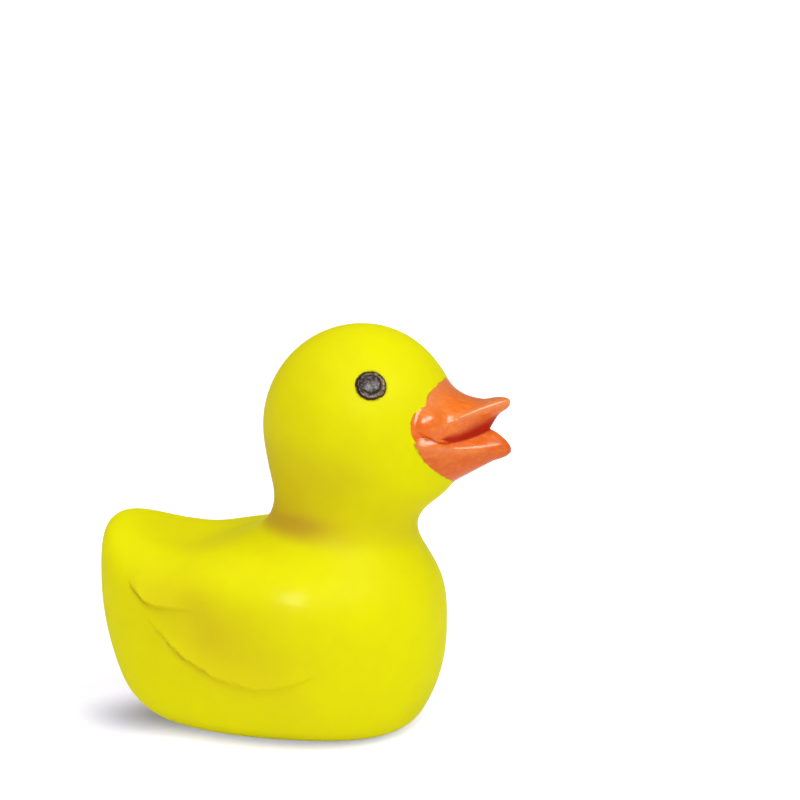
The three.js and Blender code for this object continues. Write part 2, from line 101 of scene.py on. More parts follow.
class DuckSizes(bpy.types.PropertyGroup):
    """Sizes of the moulding. Places along the duck and heights are in the part's frame."""

    body_place: length("Body place", "Widest section of the body, along the duck", -0.82)
    body_width: length("Body width", "Width of the body at its widest", 14.8)
    body_rear: length("Body rear", "From the widest section to the tail's end", 11.07)
    body_front: length("Body front", "From the widest section to the chest", 8.71)
    body_widest: length("Widest height", "Height of the body's widest line", 5.6)
    back_rise: length("Back rise", "From the widest line up to the back", 5.3)
    shoulder_rise: length("Shoulder rise", "How much higher the back is beside the neck", 0.3)
    belly_drop: length("Belly drop", "How far the belly's curve would go down without its foot", 8.36)
    foot_rear: length("Foot rear fillet", "Rounding between the rear and the flat foot", 2.94)
    foot_front: length("Foot front fillet", "Rounding between the chest and the flat foot", 0.9)
    back_dish: length("Back dish", "How far the back is dished between its rims", 0.74)
    rim_blend: length("Rim blend", "Rounding of the rim of the dished back", 0.58)
    tail_lift: length("Tail lift", "How far the tail turns up", 3.3)
    tail_length: length("Tail length", "Length over which the tail turns up", 5.67)
    head_ahead: length("Head ahead", "Middle of the head, ahead of the body's widest section", 4.04)
    head_height: length("Head height", "Height of the middle of the head", 17.4)
    head_size: place("Head size", "Length, width and height of the head", 10.86, 10.7, 11.34)
    neck_back: length("Neck set back", "Middle of the neck, behind the head's", 1.4)
    neck_drop: length("Neck drop", "Middle of the neck, below the head's", 6.0)
    neck_size: place("Neck size", "Length, width and height of the neck", 6.1, 6.1, 9.0)
    neck_blend: length("Neck blend", "Rounding between head and neck", 2.85)
    shoulder_blend: length("Shoulder blend", "Rounding between the neck and the body", 3.05)
    chin_reach: length("Chin reach", "Middle of the chin, ahead of the head's", 3.1)
    chin_drop: length("Chin drop", "Middle of the chin, below the head's", 1.17)
    chin_size: length("Chin size", "Diameter of the chin", 5.25)
    chin_blend: length("Chin blend", "Rounding between head and chin", 1.5)
    bill_reach: length("Bill reach", "Tip of the bill, ahead of the middle of the head", 8.53)
    bill_root: length("Bill root", "Where the bill starts to taper, ahead of the middle of the head", 4.0)
    bill_back: length("Bill back", "Rear end of the bill, inside the head", 2.0)
    bill_width: length("Bill width", "Width of the bill at its root", 7.1)
    bill_nose: length("Bill nose", "Rounding of the bill's tip, seen from above", 0.25)
    bill_root_top: length("Root top", "Top of the bill at its root, above the middle of the head", 3.6)
    bill_tip_top: length("Tip top", "Top of the bill at its tip, above the middle of the head", 1.9)
    bill_climb: length("Bill climb", "How steeply the top climbs from its saddle to the head", 2.1)
    bill_saddle: length("Bill saddle", "How far the top dips before the tip", 0.1)
    lip_corner: length("Lip at corner", "Upper lip at the mouth's corner, above the middle of the head", 0.52)
    lip_climb: length("Lip climb", "How far the upper lip would climb from the corner to the tip", 1.5)
    lip_tip: length("Lip at tip", "Upper lip at the tip, above the middle of the head", 1.95)
    lower_rim: length("Lower rim", "Rim of the lower bill, above the middle of the head", -0.62)
    rim_rise: length("Rim rise", "How far that rim rises to the mouth's corner", 0.7)
    lower_tip: length("Lower tip", "Underside of the lower bill's tip, above the middle of the head", -1.0)
    keel_depth: length("Keel depth", "Depth of the lower bill's keel at its root", 2.65)
    bill_edge: length("Bill edge", "Rounding of the bill's edges at the tip", 0.4)
    lip_bead: length("Lip bead", "Radius of the rounded upper lip at the tip", 0.34)
    rim_bead: length("Rim bead", "Radius of the rounded rim of the lower bill at its tip", 0.42)
    corner_edge: length("Corner edge", "Rounding of the bill's edges at the mouth's corner", 0.8)
    mouth_height: length("Mouth height", "Mouth line at its corner, above the middle of the head", 0.55)
    mouth_tip: length("Mouth at tip", "Mouth line's end at the tip, above the middle of the head", 1.0)
    mouth_sag: length("Mouth sag", "How far the mouth line sags between corner and tip", 0.865)
    cheek_size: place("Cheek size", "Length, width and height of the mouth corner's roll", 1.8, 1.3, 1.8)
    cheek_ahead: length("Cheek ahead", "Middle of that roll, ahead of the bill's root", 0.8)
    cheek_over: length("Cheek over", "How far that roll stands out of the bill's side", 0.34)
    cheek_rise: length("Cheek rise", "Middle of that roll, above the mouth line", 0.25)
    cheek_lift: length("Cheek lift", "How far the roll's underside climbs to the mouth's corner", 0.24)
    cheek_blend: length("Cheek blend", "Rounding of that roll into the bill", 0.5)
    jaw_size: place("Jaw size", "Length, width and height of the roll at the rim's root", 2.0, 1.1, 1.0)
    jaw_ahead: length("Jaw ahead", "Middle of that lower roll, ahead of the bill's root", 0.95)
    jaw_over: length("Jaw over", "How far that lower roll stands out of the bill's side", 0.34)
    jaw_drop: length("Jaw drop", "Middle of that lower roll, below the mouth line", 0.8)
    jaw_blend: length("Jaw blend", "Rounding of that lower roll into the bill", 0.4)
    root_fillet: length("Root fillet", "Rounding where the bill meets the head", 0.2)
    orange_level: length("Orange level", "Foot of the orange's arch, above the middle of the head", 0.6)
    orange_arch: place("Orange arch", "Half width and height of that arch", 2.85, 2.22)
    orange_keel: place("Orange keel", "Half width and depth of it below the head's middle", 3.55, 2.85)
    orange_corner: place("Orange corner", "Orange at the mouth's corner: out from the middle, up", 2.45, 0.68)
    orange_round: place("Orange round", "Half width and half height of the orange at that corner", 1.17, 1.2)
    eye_diameter: length("Eye diameter", "Diameter of an eye", 1.7)
    eye_dome: length("Eye dome", "Height of an eye over the head", 0.28)
    eye_turn: angle("Eye turn", "Angle of an eye from straight ahead", 65.8)
    eye_tilt: angle("Eye tilt", "Angle of an eye from level", 36.1)
    wing_relief: length("Wing relief", "How far a feather's edge stands out", 0.22)
    wing_fade: length("Wing fade", "Height over which a feather's edge dies away", 1.9)
    wing_rear: place("Wing rear", "Rear tip of the wing's edge: ahead of body place, height", -6.5, 7.05)
    wing_low: place("Wing low", "Lowest point of the wing's edge", 0.5, 3.82)
    wing_front: place("Wing front", "Front end of the wing's edge", 3.9, 5.1)
    feather_rear: place("Feather rear", "Rear tip of the upper feather's edge", -8.0, 8.8)
    feather_low: place("Feather low", "Lowest point of the upper feather's edge", -5.7, 7.79)
    feather_front: place("Feather front", "Front end of the upper feather's edge", -3.3, 7.95)
    hollow_middle: place("Hollow middle", "Middle of the flank's hollow: along the duck, height", -3.5, 6.7)
    hollow_size: place("Hollow size", "Half length and half height of that hollow", 4.0, 1.8)
    hollow_slant: angle("Hollow slant", "How steeply that hollow runs down to the front", 31)
    hollow_depth: length("Hollow depth", "Depth of that hollow", 0.2)
    shine_middle: place("Shine middle", "Middle of the flank's gloss: along the duck, height", 0.95, 8.6)
    shine_size: place("Shine size", "Half length and half height of that gloss", 1.05, 1.1)
    hand_depth: length("Hand unevenness", "Height of the slow waves that a hand-made master leaves", 0.035)


class DuckPaint(bpy.types.PropertyGroup):
    """Colours and finish of the paint, some of which paint shade, sheen and reflection."""

    yellow: tint("Yellow", "Main colour of the duck", 238, 234, 6)
    # Ochre serves the paint's random mottling, and is also painted shade in creases, in the flank's hollow
    # and round the neck
    ochre: tint("Ochre", "Yellow that has gathered in creases", 205, 170, 42)
    orange: tint("Orange", "Main colour of the bill", 246, 110, 14)
    pale_orange: tint("Pale orange", "Brush streaks on the bill", 251, 140, 34)
    # This pale orange is painted sheen at the bill's root and painted highlights along its lips
    salmon: tint("Salmon", "Thin orange at the root of the bill and along its lips", 250, 165, 105)
    # The deep red is painted shade: the orange darkened in the mouth, in the cleft under its corner's roll
    # and under the lower bill
    mouth_red: tint("Mouth red", "Deep inside the mouth", 188, 40, 16)
    edge_brown: tint("Edge brown", "Thin line where the orange ends", 150, 92, 8)
    black: tint("Black", "The eyes", 50, 44, 44)
    # The grey specks on the eyes are partly wear and partly painted reflection on the glossy black
    eye_grey: tint("Eye grey", "Worn specks on the eyes", 128, 116, 116)
    eye_ring: tint("Eye ring", "Thin paint round the dome of an eye", 156, 134, 108)
    eye_line: tint("Eye line", "Dark outline of an eye", 52, 34, 18)
    satin: share("Satin", "Roughness of the yellow", 0.5)
    gloss: share("Gloss", "Roughness of the bill", 0.34)
    eye_gloss: share("Eye gloss", "Roughness of the eyes", 0.3)


class DuckStage(bpy.types.PropertyGroup):
    """Camera, floor and light."""

    turn: angle("Camera turn", "Angle of the camera round the duck, from its right side to its front", 18)
    rise: angle("Camera rise", "Angle of the camera above level", 15)
    distance: length("Camera distance", "From the camera to the middle of the duck", 200)
    middle: place("Middle", "What the camera's angles turn about", -0.44, 0, 11)
    aim_right: length("Aim right", "How far right of the middle the camera aims", 5.755)
    aim_up: length("Aim up", "How far above the middle the camera aims", 7.351)
    lens: FloatProperty(name="Lens", description="Focal length in millimetres", default=159.43, min=1.0)
    floor_size: length("Floor size", "Side of the floor", 6000)
    floor_tone: share("Floor tone", "How much light the floor gives back", 0.95)
    floor_white: share("Floor white", "Floor as the camera sees it, where 1 is white in full light", 1.3)
    # Beside the duck the floor is painted bluer and given a glow that lightens the duck's shade on it, and
    # behind the duck a painted shadow pools
    floor_blue: share("Floor blue", "How much more blue the camera sees, against the duck's yellow", 1.4)
    floor_glow: share("Floor glow", "Share of the floor that looks white even in the shade", 0.27)
    beside_glow: tint("Beside glow", "That share beside the duck, against its yellow", 167, 168, 186)
    pool: place("Shade pool", "Middle of the shade on the floor behind the duck", -8.8, -1.85)
    pool_size: length("Pool size", "How far that shade reaches", 5.7)
    pool_depth: share("Pool depth", "How dark that shade is in its middle", 0.6)
    sky: share("Sky", "Strength of the even light from all round", 0.24)
    sky_tint: tint("Sky tint", "Colour of that light, a little warm", 255, 240, 214)
    key_tint: tint("Key tint", "Colour of the key light, a little cool", 244, 255, 255)


# Lamps: use, strength as a share of white, then turn round the duck, rise and spread in degrees
LAMPS = {
    "key": ("lights the duck from its front", 0.37, 78, 45, 62),
    "top": ("lights the duck from above", 0.45, -40, 72, 80),
    "front": ("lights the near flank a little", 0.15, 10, 30, 30),
    "gleam": ("shows only in the gloss of the flanks", 0.45, 12, 38, 26),
    "sheen": ("shows only in the gloss of the bill's rolls", 0.6, 26, 42, 46),
    "glint": ("shows only in the gloss of the lips", 0.6, 61, 48, 32),
}
GLOSS_LAMPS = ("gleam", "sheen", "glint")


def add_lamps(settings):
    """Gives the stage's settings four rows for each lamp."""
    for lamp, (use, level, turn, rise, spread) in LAMPS.items():
        title = lamp.capitalize()
        settings[f"{lamp}_level"] = share(f"{title} light", f"Strength of the lamp that {use}", level)
        settings[f"{lamp}_turn"] = angle(f"{title} turn", f"Angle of the {lamp} light round the duck", turn)
        settings[f"{lamp}_rise"] = angle(f"{title} rise", f"Angle of the {lamp} light above level", rise)
        settings[f"{lamp}_spread"] = angle(f"{title} spread", f"How wide the {lamp} light is", spread)


add_lamps(DuckStage.__annotations__)


# Form: fields that give about the distance of a place from a surface, below zero inside

# Powers of the body's sections, where 2 is an ellipse and more is squarer
PLAN_POWER = 2.2
BACK_POWER = 3.2
TAIL_POWER = 3.25
BELLY_POWER = 2.45
CHEST_POWER = 2.175

# The back's dish: its share of the width, and how much of it the shoulder takes away
DISH_SHARE = 0.74
DISH_FADE = 0.8

# Where the back starts and ends its rise to the shoulder, behind the widest section
SHOULDER_START = 6.0
SHOULDER_END = 1.5

# Height over which the field's scale changes from the back's to the belly's
SCALE_BLEND = 3.0

# How far under the floor the rounding of the foot aims, as a share of its fillet
FOOT_SINK = 1 / 16

# How the bill's outline, crown, keel and lip curve to the tip, and how far past it they are worked out
TAPER_POWER = 1.1
CROWN_FALL = 5
CROWN_SIDE = 2.6
CROWN_SHARE = 0.933
CROWN_BLEND = 0.3
LIP_BLEND = 0.3
RIM_FALL = 3
KEEL_SIDE = 2.8
PAST_TIP = 1.2

# How far the mouth goes in, where it starts, and where, over what length and how much it is shallower
MOUTH_DEPTH = 0.27
MOUTH_CORNER = 0.5
SHALLOW_PLACE = 0.28
SHALLOW_REACH = 0.24
SHALLOW_SHARE = 0.75

# The beads along the lips: their rounding, how far they stand back before they grow, and where they grow
BEAD_BLEND = 0.45
BEAD_CALM = 0.3
LIP_GROWTH = (0.2, 0.95)
RIM_GROWTH = (0.05, 0.95)

# Underside of the roll at the mouth's corner: where it climbs, its gap over the mouth line, and its edge
UNDERSIDE_CLIMB = (-0.7, 0.8)
UNDERSIDE_GAP = 0.06
UNDERSIDE_EDGE = 0.2

# Powers of the orange's outline on the head
ARCH_POWER = 2.6
KEEL_POWER = 1.6
CORNER_POWER = 2

# An eye's dome, and its fine grooves: place and width in shares of the radius, depth as a share of the dome
DOME_POWER = 0.6
EYE_GROOVES = ((0.76, 0.07, 0.2), (1.03, 0.06, 0.16))
NO_EYE = 9.0
SEAT_HALVINGS = 40

# How fast a feather's edge dies away to its rear tip and to its front end, and how its swell ends
REAR_DYING = 6
WING_DYING = 2.2
FEATHER_DYING = 1.3
WING_SINK = 0.08
SWELL_BLEND = 0.35

# Raggedness of a feather's edge: height, pace and start of each wave, and its share ahead of the lowest point
RAGGED_WAVES = ((0.045, 2.9, 0.6), (0.03, 7.1, 2.0))
RAGGED_AHEAD = 0.2

# Softness of a feather's edge and the groove under it, and how both change to the rear tip
EDGE_SOFTNESS = 0.19
EDGE_CRISPING = 0.11
GROOVE_DEPTH = 0.03
GROOVE_DEEPENING = 0.11
GROOVE_DROP = 0.12
GROOVE_WIDTH = 0.18

# Unevenness of the hand-made master: length and number of its waves, and the seed of their directions
HAND_WAVE = 6.5
HAND_COUNT = 7
HAND_SEED = 5

LEAST = 0.01
SIDES = (-1, 1)
ANGLES = ("eye_turn", "eye_tilt", "hollow_slant")


def smooth_min(a, b, blend):
    """The lower of two fields, with a rounding between them."""
    overlap = np.maximum(blend - np.abs(a - b), 0) / blend
    return np.minimum(a, b) - overlap * overlap * blend / 4


def smooth_max(a, b, blend):
    """The higher of two fields, with a rounding between them."""
    return -smooth_min(-a, -b, blend)


def smooth_step(value, low, high):
    """Goes from 0 at low to 1 at high, level at both ends."""
    part = np.clip((value - low) / (high - low), 0, 1)
    return part * part * (3 - 2 * part)


def bell(value, middle, width):
    """1 at a middle, falling away to 0 on both sides."""
    return np.exp(-(((value - middle) / width) ** 2))


def ellipsoid(point, centre, size):
    """About the distance from an ellipsoid."""
    radii = np.asarray(size) / 2
    scaled = [(p - c) / r for p, c, r in zip(point, centre, radii)]
    reach = np.sqrt(scaled[0] ** 2 + scaled[1] ** 2 + scaled[2] ** 2)
    steepness = np.sqrt(sum((s / r) ** 2 for s, r in zip(scaled, radii)))
    return reach * (reach - 1) / np.maximum(steepness, 1e-6)


def bead(side, up, radius, growth):
    """About the distance from a lip's rounded edge, which stands back where it has not grown yet."""
    grown = radius * growth
    return np.hypot(side + grown, up + growth * grown / 2) - grown + BEAD_CALM * (1 - growth)


def inset(across, up, sizes, power):
    """About the distance inside a rounded outline, from its half width, height and power."""
    reach = ((across / sizes[0]) ** power + (up / sizes[1]) ** power) ** (1 / power)
    return (1 - reach) * min(sizes)


def hand_waves(point, wave, count, seed):
    """Slow unevenness between -1 and 1, from a few waves in set directions."""
    dice = np.random.default_rng(seed)
    total = 0
    for _ in range(count):
        way = dice.normal(size=3)
        way *= 2 * math.pi / (wave * np.linalg.norm(way))
        total = total + np.sin(
            way[0] * point[0] + way[1] * point[1] + way[2] * point[2] + dice.uniform(0, 2 * math.pi)
        )
    return total / count


class Form:
    """The duck's shape in millimetres."""

    def __init__(self, sizes):
        for name in DuckSizes.__annotations__:
            value = getattr(sizes, name)
            if name in ANGLES:
                setattr(self, name, value)
            elif isinstance(value, float):
                setattr(self, name, value / MM)
            else:
                setattr(self, name, np.array(value) / MM)
        self.head = np.array([self.body_place + self.head_ahead, 0, self.head_height])
        self.neck = self.head - [self.neck_back, 0, self.neck_drop]
        self.chin = self.head + [self.chin_reach, 0, -self.chin_drop]
        self.tail_end = self.body_place - self.body_rear
        self.bill_turn = math.atan2(self.bill_width / 2, self.bill_reach - self.bill_root)
        self.cheek = self.roll_middle(self.cheek_size, self.cheek_ahead, self.cheek_over, self.cheek_rise)
        self.jaw = self.roll_middle(self.jaw_size, self.jaw_ahead, self.jaw_over, -self.jaw_drop)
        self.eyes = [self.eye_seat(side) for side in SIDES]

    def roll_middle(self, size, ahead, over, rise):
        """Middle of a roll that lies along the bill's edge and stands out of it, on the duck's left."""
        sunk = size[1] / 2 - over
        return self.head + [
            self.bill_root + ahead - sunk * math.sin(self.bill_turn),
            self.bill_width / 2 - ahead * math.tan(self.bill_turn) - sunk * math.cos(self.bill_turn),
            self.mouth_height + rise,
        ]

    def roll(self, point, middle, size):
        """A roll along the bill's edge on both sides, and how far ahead of its middle a place is."""
        ahead = point[0] - middle[0]
        beside = np.abs(point[1]) - middle[1]
        turned = (
            ahead * math.cos(self.bill_turn) - beside * math.sin(self.bill_turn),
            ahead * math.sin(self.bill_turn) + beside * math.cos(self.bill_turn),
            point[2] - middle[2],
        )
        return ellipsoid(turned, (0, 0, 0), size), turned[0]

    def body(self, point):
        """The body with its upturned tail and dished back."""
        x, y, z = point
        rear = np.maximum(self.tail_end + self.tail_length - x, 0) / self.tail_length
        level = z - self.body_widest - self.tail_lift * rear**2
        above = level > 0
        shoulder = smooth_step(x, self.body_place - SHOULDER_START, self.body_place - SHOULDER_END)
        rise = self.back_rise + self.shoulder_rise * shoulder
        height = np.where(above, rise, self.belly_drop)
        ahead = smooth_step(x, self.body_place, self.body_place + self.body_front)
        back_power = BACK_POWER + (TAIL_POWER - BACK_POWER) * np.minimum(rear, 1)
        belly_power = BELLY_POWER + (CHEST_POWER - BELLY_POWER) * ahead
        power = np.where(above, back_power, belly_power)
        along = np.abs(x - self.body_place) / np.where(x < self.body_place, self.body_rear, self.body_front)
        across = np.abs(y) / (self.body_width / 2)
        plan = (along**PLAN_POWER + across**PLAN_POWER) ** (1 / PLAN_POWER)
        reach = (plan**power + (np.abs(level) / height) ** power) ** (1 / power)
        spread = np.maximum(1 - along**PLAN_POWER, LEAST) ** (1 / PLAN_POWER)
        depth = self.back_dish * (1 - DISH_FADE * shoulder)
        dish = rise - depth * (1 - np.minimum(across / (DISH_SHARE * spread), 2) ** 2)
        scale = rise + (self.belly_drop - rise) * smooth_step(-level, 0, SCALE_BLEND)
        return smooth_max((reach - 1) * scale, level - dish, self.rim_blend)

    def head_and_neck(self, point):
        """The head with its chin, on the neck."""
        skull = smooth_min(
            ellipsoid(point, self.head, self.head_size),
            ellipsoid(point, self.chin, [self.chin_size] * 3),
            self.chin_blend,
        )
        return smooth_min(skull, ellipsoid(point, self.neck, self.neck_size), self.neck_blend)

    def smooth_skin(self, point):
        """Body, neck and head without relief, on a rounded foot."""
        whole = smooth_min(self.head_and_neck(point), self.body(point), self.shoulder_blend)
        ahead = smooth_step(point[0], 0, self.body_place + self.body_front)
        fillet = self.foot_rear + (self.foot_front - self.foot_rear) * ahead
        return smooth_max(whole, -point[2] - fillet * FOOT_SINK, fillet)

    def eye_seat(self, side):
        """Where an eye sits on the head, and the way that it faces."""
        ray = np.array(
            [
                math.cos(self.eye_tilt) * math.cos(self.eye_turn),
                side * math.cos(self.eye_tilt) * math.sin(self.eye_turn),
                math.sin(self.eye_tilt),
            ]
        )
        near, far = 0, self.head_size[2]
        for _ in range(SEAT_HALVINGS):
            middle = (near + far) / 2
            if self.smooth_skin(self.head + middle * ray) < 0:
                near = middle
            else:
                far = middle
        seat = self.head + near * ray
        outward = (seat - self.head) / self.head_size**2
        return seat, outward / np.linalg.norm(outward)

    def eye_reach(self, point):
        """Distance from the nearer eye's axis, large away from the eyes."""
        nearest = np.full(np.broadcast_shapes(*[np.shape(p) for p in point]), NO_EYE)
        for seat, outward in self.eyes:
            offset = [p - s for p, s in zip(point, seat)]
            rise = sum(o * n for o, n in zip(offset, outward))
            radius = np.sqrt(np.maximum(sum(o * o for o in offset) - rise * rise, 0))
            nearest = np.where(np.abs(rise) < self.eye_diameter, np.minimum(nearest, radius), nearest)
        return nearest

    def eye_relief(self, point):
        """An eye: a dome inside a narrow flange, with a fine groove between them and another around."""
        radius = self.eye_reach(point) / (self.eye_diameter / 2)
        relief = np.maximum(1 - radius**2, 0) ** DOME_POWER
        for ring, width, depth in EYE_GROOVES:
            relief = relief - depth * bell(radius, ring, width)
        return self.eye_dome * relief

    def feather(self, point, rear, low, front, front_dying):
        """Relief over a curved feather edge: most at the edge, dying away above it and to its ends."""
        x, _, z = point
        forward = x - self.body_place - low[0]
        behind = forward < 0
        share_out = np.abs(forward / np.where(behind, rear[0] - low[0], front[0] - low[0]))
        line = low[1] + np.where(behind, rear[1] - low[1], front[1] - low[1]) * share_out**2
        ragged = sum(height * np.sin(pace * x + start) for height, pace, start in RAGGED_WAVES)
        line = line + ragged * np.where(behind, 1, RAGGED_AHEAD)
        above = z - line
        dying = share_out ** np.where(behind, REAR_DYING, front_dying)
        shrink = 1 - np.clip(above / self.wing_fade, 0, 1)
        swell = self.wing_relief * smooth_max(shrink * shrink - dying - WING_SINK, 0, SWELL_BLEND)
        near_rear = np.where(behind, share_out, 0)
        softness = EDGE_SOFTNESS - EDGE_CRISPING * near_rear
        depth = (GROOVE_DEPTH + GROOVE_DEEPENING * near_rear) * np.maximum(1 - dying, 0)
        groove = depth * bell(above, -GROOVE_DROP, GROOVE_WIDTH)
        return swell * smooth_step(above, -softness, softness) - groove

    def hollow(self, point):
        """Share of the flank's hollow at a place, 1 in its middle and 0 away from it: it dents the flank, and
        it places painted shade there.
        """
        x, _, z = point
        ahead = x - self.hollow_middle[0]
        over = z - self.hollow_middle[1]
        slant = (math.cos(self.hollow_slant), math.sin(self.hollow_slant))
        along = (ahead * slant[0] - over * slant[1]) / self.hollow_size[0]
        up = (ahead * slant[1] + over * slant[0]) / self.hollow_size[1]
        return np.exp(-(along**2) - up**2)

    def shine(self, point):
        """Share of the flank's glossier spot at a place, 1 in its middle and 0 away from it."""
        along = (point[0] - self.shine_middle[0]) / self.shine_size[0]
        up = (point[2] - self.shine_middle[1]) / self.shine_size[1]
        return np.exp(-(along**4) - up**4)

    def skin(self, point):
        """The skin with its eyes, feather edges, hollow flanks and slight unevenness."""
        relief = self.eye_relief(point)
        relief = relief + self.feather(
            point, self.wing_rear, self.wing_low, self.wing_front, WING_DYING
        )
        relief = relief + self.feather(
            point, self.feather_rear, self.feather_low, self.feather_front, FEATHER_DYING
        )
        relief = relief - self.hollow_depth * self.hollow(point)
        relief = relief + self.hand_depth * hand_waves(point, HAND_WAVE, HAND_COUNT, HAND_SEED)
        return self.smooth_skin(point) - relief

    def bill(self, point, shut=False):
        """The open bill with its rolls. Shut, it comes with its gape and the height over the mouth line."""
        x, y, z = point
        level = z - self.head[2]
        half = self.bill_width / 2
        long = self.bill_reach - self.bill_root
        out = np.clip((x - self.head[0] - self.bill_root) / long, 0, PAST_TIP)
        inner = np.minimum(out, 1)
        taper = 1 - out**TAPER_POWER
        nose = self.bill_nose
        outline = 1 - taper + (np.hypot(y, nose) - nose) / half
        plan = np.maximum(outline, 1 + self.bill_back - x + self.head[0])
        width = np.sqrt((half * np.maximum(taper, LEAST) + nose) ** 2 - nose**2)
        across = np.minimum(np.abs(y) / width, 1)
        lip, rim = self.lips(out)
        mouth = self.mouth_height + (self.mouth_tip - self.mouth_height) * inner
        mouth = mouth - self.mouth_sag * 4 * inner * (1 - inner)
        climb = self.bill_climb * (1 - inner) ** CROWN_FALL - self.bill_saddle * 4 * inner * (1 - inner)
        crown = smooth_min(self.bill_tip_top + climb, self.bill_root_top, CROWN_BLEND)
        top = lip + (crown - lip) * (1 - (across / CROWN_SHARE) ** CROWN_SIDE)
        keel = self.lower_tip - self.keel_depth * (1 - inner)
        under = rim + (keel - rim) * (1 - across**KEEL_SIDE)
        shallow = SHALLOW_SHARE * bell(out, SHALLOW_PLACE, SHALLOW_REACH)
        depth = MOUTH_DEPTH * smooth_step(out, -MOUTH_CORNER, MOUTH_CORNER) * (1 - shallow)
        gape = np.clip((plan - 1 + depth) / np.maximum(depth, LEAST), -1, 2)
        roof = mouth + np.where(gape > 0, lip - mouth, 1) * gape
        floor = mouth + np.where(gape > 0, rim - mouth, -1) * gape
        side = (plan - 1) / math.hypot(1 / half, 1 / long)
        edge = self.corner_edge + (self.bill_edge - self.corner_edge) * inner
        crust = smooth_max(level - top, side, edge)
        hull = smooth_max(under - level, side, edge)
        cheek, onward = self.roll(point, self.cheek, self.cheek_size)
        jaw = self.roll(point, self.jaw, self.jaw_size)[0]
        if shut:
            rolls = smooth_min(cheek, jaw, self.jaw_blend)
            return smooth_min(np.maximum(crust, hull), rolls, self.cheek_blend), gape, level - mouth
        lip_round = bead(side, level - lip, self.lip_bead, smooth_step(out, *LIP_GROWTH))
        rim_round = bead(side, level - rim, self.rim_bead, smooth_step(out, *RIM_GROWTH))
        upper = smooth_min(smooth_max(crust, roof - level, edge), lip_round, BEAD_BLEND)
        lower = smooth_min(smooth_max(hull, level - floor, edge), rim_round, BEAD_BLEND)
        cheek = smooth_max(cheek, mouth + self.underside(onward) - level, UNDERSIDE_EDGE)
        upper = smooth_min(upper, cheek, self.cheek_blend)
        lower = smooth_min(lower, jaw, self.jaw_blend)
        return np.minimum(upper, lower)

    def lips(self, out):
        """Upper lip and lower rim, above the middle of the head, at a share of the way to the tip."""
        lip = smooth_min(self.lip_corner + self.lip_climb * out, self.lip_tip, LIP_BLEND)
        rim = self.lower_rim + self.rim_rise * (1 - np.minimum(out, 1)) ** RIM_FALL
        return lip, rim

    def underside(self, onward):
        """Underside of the mouth corner's roll above the mouth line, by how far ahead of its middle."""
        return self.cheek_lift * (1 - smooth_step(onward, *UNDERSIDE_CLIMB)) + UNDERSIDE_GAP

    def orange(self, point):
        """About how far inside the orange's edge a place is, seen from the front."""
        across = np.abs(point[1])
        up = point[2] - self.head[2]
        arch = inset(across, np.maximum(up - self.orange_level, 0), self.orange_arch, ARCH_POWER)
        keel = inset(across, np.maximum(-up, 0), self.orange_keel, KEEL_POWER)
        aside = np.abs(across - self.orange_corner[0])
        corner = inset(aside, np.abs(up - self.orange_corner[1]), self.orange_round, CORNER_POWER)
        return np.maximum(np.maximum(np.minimum(arch, keel), corner), np.minimum(keel, -up))

    def whole(self, point):
        """The complete duck on its flat foot."""
        joined = smooth_min(self.skin(point), self.bill(point), self.root_fillet)
        return np.maximum(joined, -point[2])

    def slope(self, points):
        """How the whole field rises at each point, along each axis."""
        step = 0.01
        rises = []
        for axis in range(3):
            ahead = points.copy()
            behind = points.copy()
            ahead[:, axis] += step
            behind[:, axis] -= step
            rises.append((self.whole(ahead.T) - self.whole(behind.T)) / (2 * step))
        return np.stack(rises, 1)


# Net: four-sided faces laid on the form, closer together where it has detail

# Places and the net's spacing there: along the duck, out from its middle, and up
NET_ALONG = ((-12.3, 0.21), (3.2, 0.21), (4.0, 0.126), (6.6, 0.126), (7.2, 0.088), (12.3, 0.088))
NET_ACROSS = ((0.0, 0.104), (3.6, 0.104), (4.8, 0.156), (8.0, 0.21))
NET_FOOT = ((-0.45, 0.21), (2.8, 0.21))
NET_WING = ((3.2, 0.126), (9.0, 0.126))
NET_NECK = ((9.8, 0.21), (13.4, 0.21))
NET_HEAD = ((14.2, 0.089), (21.3, 0.089), (22.0, 0.21), (23.6, 0.21))

# How the net is worked out: parts that fit in memory, rounds of settling, and how far a round evens it out
SLABS = 12
ROUNDS = 6
EVENING = 0.6
LEAST_STEEP = 1e-3


def grid_line(*stops):
    """Places along an axis whose spacing follows the given stops of place and spacing."""
    places, spacings = zip(*stops)
    line = [places[0]]
    while line[-1] < places[-1]:
        line.append(line[-1] + np.interp(line[-1], places, spacings))
    return np.array(line)


def mirrored(line):
    """A line of places from 0 outwards, with its mirror image on the other side."""
    return np.concatenate([-line[:0:-1], line])


def fill_pinches(values):
    """Takes in the weaker outer corner of each grid face that the surface crosses twice and would pinch."""
    steps = np.eye(3, dtype=int)
    found = True
    while found:
        found = False
        for axis in range(3):
            side = steps[(axis + 1) % 3]
            over = steps[(axis + 2) % 3]
            ring = (0 * side, side, side + over, over)
            shape = values.shape - side - over
            inside = [values[tuple(map(slice, start, start + shape))] < 0 for start in ring]
            twice = (inside[0] == inside[2]) & (inside[1] == inside[3]) & (inside[0] != inside[1])
            for face in np.argwhere(twice):
                outer = [tuple(face + start) for start in ring if values[tuple(face + start)] >= 0]
                if len(outer) == 2:
                    weaker = min(outer, key=lambda corner: values[corner])
                    values[weaker] = -max(values[weaker], LEAST * LEAST)
                    found = True


